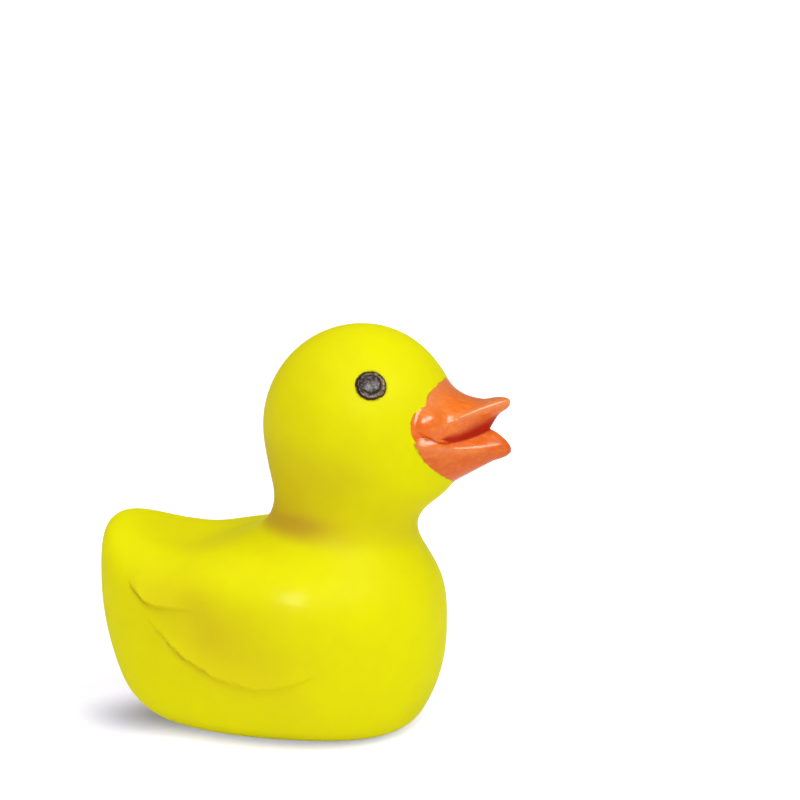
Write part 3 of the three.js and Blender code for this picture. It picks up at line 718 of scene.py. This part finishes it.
def lay_net(field, lines):
    """Points and faces of a net where a field is zero, with one point in each grid cell that it crosses."""
    x, y, z = lines
    slabs = [
        np.broadcast_to(field((slab[:, None, None], y[None, :, None], z)), (len(slab), len(y), len(z)))
        for slab in np.array_split(x, SLABS)
    ]
    values = np.concatenate(slabs)
    fill_pinches(values)
    inside = values < 0
    corners = [(i, j, k) for i in (0, 1) for j in (0, 1) for k in (0, 1)]
    shape = [size - 1 for size in values.shape]
    filled = np.zeros(shape, int)
    for i, j, k in corners:
        filled += inside[i : i + shape[0], j : j + shape[1], k : k + shape[2]]
    crossed = (filled > 0) & (filled < len(corners))
    cells = np.argwhere(crossed)
    number = np.full(shape, -1)
    number[crossed] = np.arange(len(cells))
    total = np.zeros((len(cells), 3))
    cuts = np.zeros(len(cells))
    for corner in corners:
        for axis in range(3):
            if corner[axis]:
                continue
            near = cells + corner
            far = near.copy()
            far[:, axis] += 1
            start = values[tuple(near.T)]
            end = values[tuple(far.T)]
            cut = (start < 0) != (end < 0)
            part = np.where(cut, start / np.where(cut, start - end, 1), 0)
            spot = np.stack([line[index] for line, index in zip(lines, near.T)], 1)
            spot[:, axis] += part * (lines[axis][far[:, axis]] - lines[axis][near[:, axis]])
            total += spot * cut[:, None]
            cuts += cut
    faces = []
    for axis in range(3):
        side = np.eye(3, dtype=int)[(axis + 1) % 3]
        over = np.eye(3, dtype=int)[(axis + 2) % 3]
        lower = np.take(inside, range(shape[axis]), axis)
        upper = np.take(inside, range(1, shape[axis] + 1), axis)
        edges = np.argwhere(lower != upper)
        around = [edges, edges - side, edges - side - over, edges - over]
        quads = np.stack([number[tuple(cell.T)] for cell in around], 1)
        outward = lower[tuple(edges.T)]
        faces.append(np.where(outward[:, None], quads, quads[:, ::-1]))
    return total / cuts[:, None], np.concatenate(faces)


def split_slope(slope):
    """How steep the field is at each point, and the way that the surface faces there."""
    steep = np.maximum(np.linalg.norm(slope, axis=1), LEAST_STEEP)
    return steep, slope / steep[:, None]


def settle(form, points, faces):
    """Evens the net out along the surface and pulls it onto the form, and gives the slope there."""
    uses = np.bincount(faces.ravel(), minlength=len(points))
    for turn in range(ROUNDS):
        steep, normal = split_slope(form.slope(points))
        points = points - normal * (form.whole(points.T) / steep)[:, None]
        if turn < ROUNDS - 2:
            middles = points[faces].mean(1)
            mean = np.stack(
                [np.bincount(faces.ravel(), np.repeat(middles[:, axis], 4)) for axis in range(3)], 1
            )
            shift = mean / uses[:, None] - points
            shift -= normal * (shift * normal).sum(1)[:, None]
            points = points + EVENING * shift
    return points, form.slope(points)


def shelter(form, points, slope, distances):
    """How much of the space above each point is taken up by the form, from 0 in the open to 1."""
    steep, normal = split_slope(slope)
    total = 0
    for distance in distances:
        gap = form.whole((points + distance * normal).T) / (steep * distance)
        total = total + np.clip(1 - gap, 0, 1)
    return total / len(distances)


# Masks: numbers that the mesh carries at each point, which tell the paint where it goes

# Painted shade in deep red in the mouth: softness of its line, reach outwards, more reach under the roof, and
# where that grows
MOUTH_SOFTNESS = 0.05
MOUTH_REACH = 0.15
ROOF_REACH = 0.05
ROOF_GROWTH = 0.8
ROOF_SPAN = (0.2, 0.8)

# Painted shade in deep red in the cleft under the mouth corner's roll, and a little under the lower bill,
# which faces down
CLEFT_DROP = 0.08
CLEFT_WIDTH = 0.07
CLEFT_SPAN = (-0.6, 0.0)
CLEFT_SHARE = 0.8
UNDER_SPAN = (0.5, 1.2)
UNDER_SHARE = 0.3
INSIDE_SPAN = (0.02, 0.15)

# Painted sheen in pale orange at the bill's root, along it and up, and painted highlights along the lips
ROOT_SPAN = (-0.1, 0.45)
ROOT_RISE = (0.7, 2.0)
HIGHLIGHT_WIDTH = 0.2
HIGHLIGHT_SPAN = (-0.1, 0.1)
LIP_SPAN = (0.25, 0.5)
RIM_SPAN = (0.6, 1.0)
RIM_SHARE = 0.6

# Painted shade in ochre in the flank's hollow: how widely it spreads, and heights over which it ends
HOLLOW_POWER = 0.45
HOLLOW_TOP = (8.2, 10.2)

# Painted shade in ochre round the neck and on the head's underside and back: over the seam, behind the neck,
# and patches as share, place and width along the duck and up
SEAM_START = (-0.9, 0.6)
SEAM_END = (0.5, 5.0)
NAPE_SPAN = (-2.5, 1.5)
SEAM_SHARE = 0.3
NAPE_SHARE = 0.45
PATCH_START = (-0.6, 0.4)
LEAF_SHARE = 0.5
LEAF_PLACE = (0.9, 12.4)
LEAF_SIZE = (2.4, 0.5)
JOWL_SHARE = 0.4
JOWL_HEIGHT = 15.6
JOWL_SIZE = 1.7
JOWL_SPAN = (3.0, 7.0)
POLL_SHARE = 0.25
POLL_SPAN = (-1.5, 3.5)

# How far the bill has to stand out of the head to be orange, and distances at which a crease is felt for the
# painted shade in it
BILL_PROUD = 0.2
CREASE_REACHES = (0.12, 0.25, 0.4)


def bill_masks(form, points):
    """Painted shade in deep red in and about the mouth, and painted sheen and highlights in pale orange at
    the root and along the lips.
    """
    sheath, gape, over_mouth = form.bill(points.T, True)
    onward = (points[:, 0] - form.head[0] - form.bill_root) / (form.bill_reach - form.bill_root)
    roof = smooth_step(over_mouth, -MOUTH_SOFTNESS, MOUTH_SOFTNESS)
    reach = MOUTH_REACH + roof * (ROOF_REACH + ROOF_GROWTH * smooth_step(onward, *ROOF_SPAN))
    near_mouth = 1 - smooth_step(gape, 0, reach)
    along = form.roll(points.T, form.cheek, form.cheek_size)[1]
    near_cleft = bell(over_mouth, form.underside(along) - CLEFT_DROP, CLEFT_WIDTH)
    near_cleft = near_cleft * smooth_step(along, *CLEFT_SPAN)
    # Painted shade in deep red: in the mouth's gap, in the cleft and under the lower bill
    red = [
        near_mouth * smooth_step(-sheath, *INSIDE_SPAN),
        CLEFT_SHARE * near_cleft,
        UNDER_SHARE * smooth_step(-over_mouth, *UNDER_SPAN),
    ]
    level = points[:, 2] - form.head[2]
    lip, rim = form.lips(np.clip(onward, 0, 1))
    on_lip = bell(level, lip, HIGHLIGHT_WIDTH) * smooth_step(onward, *LIP_SPAN)
    on_rim = bell(level, rim, HIGHLIGHT_WIDTH) * RIM_SHARE * (1 - smooth_step(onward, *RIM_SPAN))
    proud = np.maximum(form.orange(points.T), form.skin(points.T) - sheath - BILL_PROUD)
    return {
        "bill_edge": np.where(points[:, 0] > form.head[0], proud, -1),
        # Painted shade in deep red in and about the mouth
        "mouth": np.maximum.reduce(red),
        # Painted sheen at the root and painted highlights along the lips, in pale orange
        "root": (1 - smooth_step(onward, *ROOT_SPAN)) * smooth_step(over_mouth, *ROOT_RISE),
        "worn": np.maximum(on_lip, on_rim) * smooth_step(onward, *HIGHLIGHT_SPAN),
    }


def neck_shade_mask(form, points):
    """Painted shade over the seam of neck and body, most behind the neck, with soft patches of it about the
    neck and on the head's underside and back.
    """
    x, _, z = points.T
    seam = form.body(points.T) - form.head_and_neck(points.T)
    behind = smooth_step(form.neck[0] - x, *NAPE_SPAN)
    ring = smooth_step(seam, *SEAM_START) * (1 - smooth_step(seam, *SEAM_END))
    leaf = bell(x, LEAF_PLACE[0], LEAF_SIZE[0]) * bell(z, LEAF_PLACE[1], LEAF_SIZE[1])
    jowl = bell(z, JOWL_HEIGHT, JOWL_SIZE) * (1 - smooth_step(x, *JOWL_SPAN))
    poll = 1 - smooth_step(x, *POLL_SPAN)
    patches = LEAF_SHARE * leaf + JOWL_SHARE * jowl + POLL_SHARE * poll
    return ring * (SEAM_SHARE + NAPE_SHARE * behind) + patches * smooth_step(seam, *PATCH_START)


def paint_masks(form, points, slope):
    """All the masks, by name."""
    eye_middle = form.eyes[0][0][0]
    return {
        **bill_masks(form, points),
        # Painted shade in the flank's hollow, which is darker in ochre
        "hollow": form.hollow(points.T) ** HOLLOW_POWER * (1 - smooth_step(points[:, 2], *HOLLOW_TOP)),
        "eye_reach": form.eye_reach(points.T),
        "eye_front": np.clip((points[:, 0] - eye_middle) / (form.eye_diameter / 2), -1, 1),
        "shine": form.shine(points.T),
        # Painted shade: darker where the form shelters a point, in creases
        "crease": shelter(form, points, slope, CREASE_REACHES),
        # Painted shade round the neck and on the head's underside and back
        "nape": neck_shade_mask(form, points),
    }


# Materials


class Wire:
    """A value in a material's nodes: sums and products of wires and numbers add Math nodes."""

    def __init__(self, coat, socket):
        self.coat = coat
        self.socket = socket

    def maths(self, operation, *values):
        """One Math node on these values."""
        return self.coat.node("ShaderNodeMath", {"operation": operation}, dict(enumerate(values)))

    def __add__(self, other):
        return self.maths("ADD", self, other)

    def __radd__(self, other):
        return self.maths("ADD", other, self)

    def __sub__(self, other):
        return self.maths("SUBTRACT", self, other)

    def __rsub__(self, other):
        return self.maths("SUBTRACT", other, self)

    def __mul__(self, other):
        return self.maths("MULTIPLY", self, other)

    def __rmul__(self, other):
        return self.maths("MULTIPLY", other, self)

    def __abs__(self):
        return self.maths("ABSOLUTE", self)

    def rise(self, low, high):
        """Goes from 0 at low to 1 at high, level at both ends."""
        return self.coat.node(
            "ShaderNodeMapRange",
            {"interpolation_type": "SMOOTHSTEP"},
            {"Value": self, "From Min": low, "From Max": high},
        )


class Coat:
    """The nodes of one material or of the world, from an empty tree."""

    def __init__(self, owner):
        owner.use_nodes = True
        self.tree = owner.node_tree
        self.tree.nodes.clear()

    def node(self, kind, settings, inputs, output=0):
        """Adds a node: its settings are set first, then its sockets take values or links."""
        made = self.tree.nodes.new(kind)
        for name, value in settings.items():
            setattr(made, name, value)
        for key, value in inputs.items():
            if isinstance(value, Wire):
                self.tree.links.new(value.socket, made.inputs[key])
            else:
                made.inputs[key].default_value = value
        return Wire(self, made.outputs[output] if made.outputs else None)

    def attribute(self, name):
        """A number that the mesh carries at each point."""
        return self.node("ShaderNodeAttribute", {"attribute_name": name}, {}, "Fac")

    def noise(self, point, stretch, detail, roughness=0.5):
        """Noise around 0.5 over a point in metres, with its lumps in a millimetre along each axis."""
        scaled = self.node(
            "ShaderNodeVectorMath",
            {"operation": "MULTIPLY"},
            {0: point, 1: [count / MM for count in stretch]},
        )
        return self.node(
            "ShaderNodeTexNoise",
            {},
            {"Vector": scaled, "Scale": 1.0, "Detail": detail, "Roughness": roughness},
        )

    def blend(self, factor, first, second):
        """A colour between two others."""
        return self.node(
            "ShaderNodeMix",
            {"data_type": "RGBA", "clamp_factor": True},
            {0: factor, 6: opaque(first), 7: opaque(second)},
            2,
        )


def opaque(colour):
    """A colour with its alpha, or a wire as it is."""
    return colour if isinstance(colour, Wire) else (*colour, 1.0)


# Noise: lumps in a millimetre along each axis of fine grain, slow mottling, brush streaks and ragged edges
GRAIN = (7, 7, 7)
MOTTLE = (0.35, 0.35, 0.35)
STREAK = (0.5, 4.0, 4.0)
RAGGED = (2.2, 2.2, 2.2)
NOISE_MIDDLE = 0.5

# Edge of the orange in millimetres: its raggedness, its rise, and a broken thin line along it
BILL_RAGGED = 0.06
BILL_RISE = (-0.02, 0.03)
BILL_LINE = (0.0, 0.06)
LINE_GAPS = (0.4, 0.65)
LINE_SHARE = 0.5

# An eye from its middle outwards, in millimetres: its edge, its grey specks of wear and painted reflection,
# its pale ring, its outline and an inner line
EYE_RAGGED = 0.14
EYE_RISE = (0.83, 0.88)
EYE_SPECKS = (0.42, 0.7)
RING_RISE = (0.53, 0.62)
RING_FRONT = (-0.8, 0.3)
RING_SPECKS = (0.4, 0.55)
OUTLINE_RISE = (0.69, 0.77)
OUTLINE_SHIFT = 0.06
INNER_PLACE = 0.53
INNER_WIDTH = (0.02, 0.09)
INNER_FRONT = (-0.7, 0.2)
INNER_SHARE = 0.8

# How much painted shade in ochre, ochre mottling, pale streaks, painted sheen in pale orange and painted
# shade in deep red the masks and the noises give
CREASE_RISE = (0.3, 0.9)
CREASE_SHADE = 0.6
NAPE_SHADE = 0.75
HOLLOW_SHADE = 0.43
MOTTLE_START = 0.35
MOTTLE_OCHRE = 0.3
STREAK_RISE = (0.42, 0.72)
STREAK_SHARE = 0.8
ROOT_SHEEN = 0.6
LIP_HIGHLIGHT_SHARE = 0.5
DEEP_RISE = (0.0, 0.9)

# Unevenness of the roughness, clear coat of each finish, and heights of the fine relief in millimetres
GRAIN_ROUGHNESS = 0.25
COAT_LEAST = 0.01
SHINE_LEAST = 0.06
SHINE_MORE = 0.1
SHINE_SPECKS = (0.35, 0.65)
BILL_COAT = 0.9
MOUTH_DULLING = 0.8
EYE_COAT = 0.35
GRAIN_HEIGHT = 0.006
EYE_HEIGHT = 0.1
STREAK_HEIGHT = 0.03
MOTTLE_HEIGHT = 0.02


def painted_finish(paint):
    """Yellow satin paint with painted shade in its creases, hollow and round the neck, a brushed glossy
    orange bill with painted shade in its mouth and a painted sheen at its root and lips, and black eyes with
    grey specks of wear and painted reflection, each with its own edge.
    """
    material = bpy.data.materials.new("duck_paint")
    coat = Coat(material)
    point = coat.node("ShaderNodeTexCoord", {}, {}, "Object")
    grain = coat.noise(point, GRAIN, detail=3.0, roughness=0.6)
    mottle = coat.noise(point, MOTTLE, detail=3.0)
    streak = coat.noise(point, STREAK, detail=4.0, roughness=0.6)
    ragged = coat.noise(point, RAGGED, detail=2.0)

    bill_edge = coat.attribute("bill_edge") + (ragged - NOISE_MIDDLE) * BILL_RAGGED
    on_bill = bill_edge.rise(*BILL_RISE)
    bill_line = (1 - abs(bill_edge).rise(*BILL_LINE)) * ragged.rise(*LINE_GAPS)
    from_eye = coat.attribute("eye_reach") + (ragged - NOISE_MIDDLE) * EYE_RAGGED
    eye_front = coat.attribute("eye_front")
    on_eye = 1 - from_eye.rise(*EYE_RISE)
    eye_ring = from_eye.rise(*RING_RISE) * eye_front.rise(*RING_FRONT) * grain.rise(*RING_SPECKS)
    inner_line = (1 - abs(from_eye - INNER_PLACE).rise(*INNER_WIDTH)) * eye_front.rise(*INNER_FRONT)
    eye_line = (from_eye - eye_front * OUTLINE_SHIFT).rise(*OUTLINE_RISE) + inner_line * INNER_SHARE

    # Painted shade: ochre in creases, round the neck and in the flank's hollow, where the duck lies in shade
    gathered = coat.attribute("crease").rise(*CREASE_RISE) * CREASE_SHADE
    gathered = gathered + coat.attribute("nape") * NAPE_SHADE + coat.attribute("hollow") * HOLLOW_SHADE
    yellow = coat.blend((mottle - MOTTLE_START) * MOTTLE_OCHRE + gathered, paint.yellow, paint.ochre)
    brushed = coat.blend(streak.rise(*STREAK_RISE) * STREAK_SHARE, paint.orange, paint.pale_orange)
    # Painted sheen at the bill's root and painted highlights along its lips, in pale orange
    painted_sheen = coat.attribute("root") * ROOT_SHEEN + coat.attribute("worn") * LIP_HIGHLIGHT_SHARE
    brushed = coat.blend(painted_sheen, brushed, paint.salmon)
    # Painted shade in deep red in the mouth, in the cleft and under the lower bill, which also dulls the
    # gloss there
    mouth_shade = coat.attribute("mouth").rise(*DEEP_RISE)
    orange = coat.blend(mouth_shade, brushed, paint.mouth_red)
    skin = coat.blend(on_bill, yellow, orange)
    skin = coat.blend(bill_line * LINE_SHARE, skin, paint.edge_brown)
    # Grey specks on the black: partly wear, partly painted reflection
    eye = coat.blend(grain.rise(*EYE_SPECKS), paint.black, paint.eye_grey)
    eye = coat.blend(eye_ring, eye, paint.eye_ring)
    eye = coat.blend(eye_line, eye, paint.eye_line)
    colour = coat.blend(on_eye, skin, eye)

    roughness = paint.satin + (grain - NOISE_MIDDLE) * GRAIN_ROUGHNESS
    roughness = roughness + on_bill * (paint.gloss - paint.satin)
    roughness = roughness + on_eye * (paint.eye_gloss - paint.satin)
    shine = coat.attribute("shine") * (SHINE_LEAST + grain.rise(*SHINE_SPECKS) * SHINE_MORE)
    lacquer = COAT_LEAST + shine + on_bill * (BILL_COAT - mouth_shade * MOUTH_DULLING) + on_eye * EYE_COAT
    height = grain * (GRAIN_HEIGHT + on_eye * EYE_HEIGHT) + on_bill * streak * STREAK_HEIGHT
    height = height + mottle * MOTTLE_HEIGHT
    bump = coat.node("ShaderNodeBump", {}, {"Strength": 1.0, "Distance": MM, "Height": height})
    shader = coat.node(
        "ShaderNodeBsdfPrincipled",
        {},
        {
            "Base Color": colour,
            "Roughness": roughness,
            "Normal": bump,
            "Specular IOR Level": 0.02,
            "Coat Weight": lacquer,
            "Coat Roughness": 0.2,
            "Coat IOR": 1.55,
        },
    )
    coat.node("ShaderNodeOutputMaterial", {}, {"Surface": shader})
    return material


# One over the half length and half width of the floor under the duck, and where the floor beside it, with its
# painted glow and bluer tint, ends
FLOOR_SHARES = (1 / (10.5 * MM), 1 / (7.0 * MM), 0)
BESIDE_SPAN = (0.95, 1.5)

# How much more blue the camera sees on the floor away from the duck, against the warm light
FAR_BLUE = 1.2


def floor_finish(stage):
    """A matte floor that the camera sees as white in full light, with a painted shadow behind the duck, and
    beside it a painted glow and bluer tint that lighten the duck's shade there and take out its yellow.
    """
    material = bpy.data.materials.new("floor_white")
    coat = Coat(material)
    seen = coat.node("ShaderNodeLightPath", {}, {}, "Is Camera Ray")
    point = coat.node("ShaderNodeTexCoord", {}, {}, "Object")
    offset = coat.node("ShaderNodeVectorMath", {"operation": "SUBTRACT"}, {0: point, 1: (*stage.pool, 0)})
    away = coat.node("ShaderNodeVectorMath", {"operation": "LENGTH"}, {0: offset}, "Value")
    # Painted shadow: the floor darker round the pool behind the duck
    clear = 1 - (1 - away.rise(0.0, stage.pool_size)) * stage.pool_depth
    shares = coat.node("ShaderNodeVectorMath", {"operation": "MULTIPLY"}, {0: point, 1: FLOOR_SHARES})
    outward = coat.node("ShaderNodeVectorMath", {"operation": "LENGTH"}, {0: shares}, "Value")
    # Painted light beside the duck: more glow and more blue on the floor there
    beside = 1 - outward.rise(*BESIDE_SPAN)
    lit = stage.floor_white * (1 - stage.floor_glow)
    white = coat.blend(beside, (lit, lit, lit * FAR_BLUE), (lit, lit, lit * stage.floor_blue))
    shader = coat.node(
        "ShaderNodeBsdfPrincipled",
        {},
        {
            "Base Color": coat.blend(seen, [stage.floor_tone] * 3, coat.blend(clear, (0, 0, 0), white)),
            "Roughness": 1.0,
            "Specular IOR Level": 0.0,
            "Emission Color": coat.blend(
                seen * clear, (0, 0, 0), coat.blend(beside, [stage.floor_glow] * 3, stage.beside_glow)
            ),
            "Emission Strength": 1.0,
        },
    )
    coat.node("ShaderNodeOutputMaterial", {}, {"Surface": shader})
    return material


# Pieces


def linked(name, data):
    """A new object in the scene."""
    made = bpy.data.objects.new(name, data)
    bpy.context.scene.collection.objects.link(made)
    return made


class DUCK_OT_mould(bpy.types.Operator):
    """Makes the duck: body, tail, head, open bill, eyes and wings in one moulding, with its paint"""

    bl_idname = "duck.mould"
    bl_label = "Mould Duck"

    def execute(self, context):
        form = Form(context.scene.duck_sizes)
        lines = (
            grid_line(*NET_ALONG),
            mirrored(grid_line(*NET_ACROSS)),
            grid_line(*NET_FOOT, *NET_WING, *NET_NECK, *NET_HEAD),
        )
        points, faces = lay_net(form.whole, lines)
        points, slope = settle(form, points, faces)
        points[:, 2] = np.maximum(points[:, 2], 0)
        mesh = bpy.data.meshes.new("duck_moulding")
        mesh.from_pydata(points * MM, [], faces.tolist())
        for name, values in paint_masks(form, points, slope).items():
            layer = mesh.attributes.new(name, "FLOAT", "POINT")
            layer.data.foreach_set("value", np.ascontiguousarray(values, np.float32))
        mesh.shade_smooth()
        mesh.normals_split_custom_set_from_vertices(split_slope(slope)[1])
        mesh.materials.append(painted_finish(context.scene.duck_paint))
        duck = linked("duck_moulding", mesh)
        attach(duck, "root")
        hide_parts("duck")
        return {"FINISHED"}


class DUCK_OT_stage(bpy.types.Operator):
    """Sets the floor, the even light, the lamps and the camera"""

    bl_idname = "duck.stage"
    bl_label = "Set Stage"

    def execute(self, context):
        scene = context.scene
        stage = scene.duck_stage
        self.lay_floor(stage)
        self.light_sky(scene, stage)
        for lamp in LAMPS:
            self.hang_lamp(stage, lamp)
        self.place_camera(scene, stage)
        scene.view_settings.view_transform = "Standard"
        return {"FINISHED"}

    def lay_floor(self, stage):
        """A plain square floor under the duck."""
        mesh = bpy.data.meshes.new("floor")
        shape = bmesh.new()
        bmesh.ops.create_grid(shape, x_segments=1, y_segments=1, size=stage.floor_size / 2)
        shape.to_mesh(mesh)
        shape.free()
        mesh.materials.append(floor_finish(stage))
        linked("floor", mesh)

    def light_sky(self, scene, stage):
        """Even light from all round, which the camera sees as white."""
        world = bpy.data.worlds.new("soft_sky")
        coat = Coat(world)
        seen = coat.node("ShaderNodeLightPath", {}, {}, "Is Camera Ray")
        colour = coat.blend(seen, [level * stage.sky for level in stage.sky_tint], (1, 1, 1))
        sky = coat.node("ShaderNodeBackground", {}, {"Color": colour, "Strength": 1.0})
        coat.node("ShaderNodeOutputWorld", {}, {"Surface": sky})
        scene.world = world

    def hang_lamp(self, stage, lamp):
        """A far, wide and soft lamp, which either lights matte surfaces or shows in gloss."""
        level, turn, rise, spread = (
            getattr(stage, f"{lamp}_{part}") for part in ("level", "turn", "rise", "spread")
        )
        data = bpy.data.lights.new(f"{lamp}_light", "SUN")
        data.energy = level * math.pi
        data.angle = spread
        if lamp == "key":
            data.color = stage.key_tint
        made = linked(f"{lamp}_light", data)
        made.visible_glossy = lamp in GLOSS_LAMPS
        made.visible_diffuse = lamp not in GLOSS_LAMPS
        made.rotation_euler = (-facing(turn, rise)).to_track_quat("-Z", "Y").to_euler()

    def place_camera(self, scene, stage):
        """The camera at the photograph's angle, aimed beside the duck as in its frame."""
        middle = Vector(stage.middle)
        back = facing(stage.turn, stage.rise)
        right = (-back).cross(Vector((0, 0, 1))).normalized()
        up = right.cross(-back)
        data = bpy.data.cameras.new("camera")
        data.lens = stage.lens
        data.clip_start = MM
        camera = linked("camera", data)
        camera.location = middle + back * stage.distance
        aim = middle + right * stage.aim_right + up * stage.aim_up
        camera.rotation_euler = (aim - camera.location).to_track_quat("-Z", "Y").to_euler()
        scene.camera = camera


def facing(turn, rise):
    """The way from the duck at these angles: 0 is its right side, and 90 degrees its front."""
    return Vector((math.sin(turn) * math.cos(rise), -math.cos(turn) * math.cos(rise), math.sin(rise)))


class DUCK_PT_panel(bpy.types.Panel):
    """Lists the duck's settings and the steps that make it"""

    bl_idname = "DUCK_PT_panel"
    bl_label = "Duck Figurine"
    bl_space_type = "VIEW_3D"
    bl_region_type = "UI"
    bl_category = "Duck"

    def draw(self, context):
        for group in (context.scene.duck_sizes, context.scene.duck_paint, context.scene.duck_stage):
            box = self.layout.box()
            for name in type(group).__annotations__:
                box.prop(group, name)
        for step in STEPS:
            self.layout.operator(step.bl_idname)


STEPS = (DUCK_OT_mould, DUCK_OT_stage)
GROUPS = {"duck_sizes": DuckSizes, "duck_paint": DuckPaint, "duck_stage": DuckStage}


def register():
    for kind in (*GROUPS.values(), *STEPS, DUCK_PT_panel):
        bpy.utils.register_class(kind)
    for name, kind in GROUPS.items():
        setattr(bpy.types.Scene, name, PointerProperty(type=kind))


def unregister():
    for name in GROUPS:
        delattr(bpy.types.Scene, name)
    for kind in (DUCK_PT_panel, *STEPS, *GROUPS.values()):
        bpy.utils.unregister_class(kind)


def main():
    register()
    bpy.ops.duck.mould()
    bpy.ops.duck.stage()


if __name__ == "__main__":
    main()
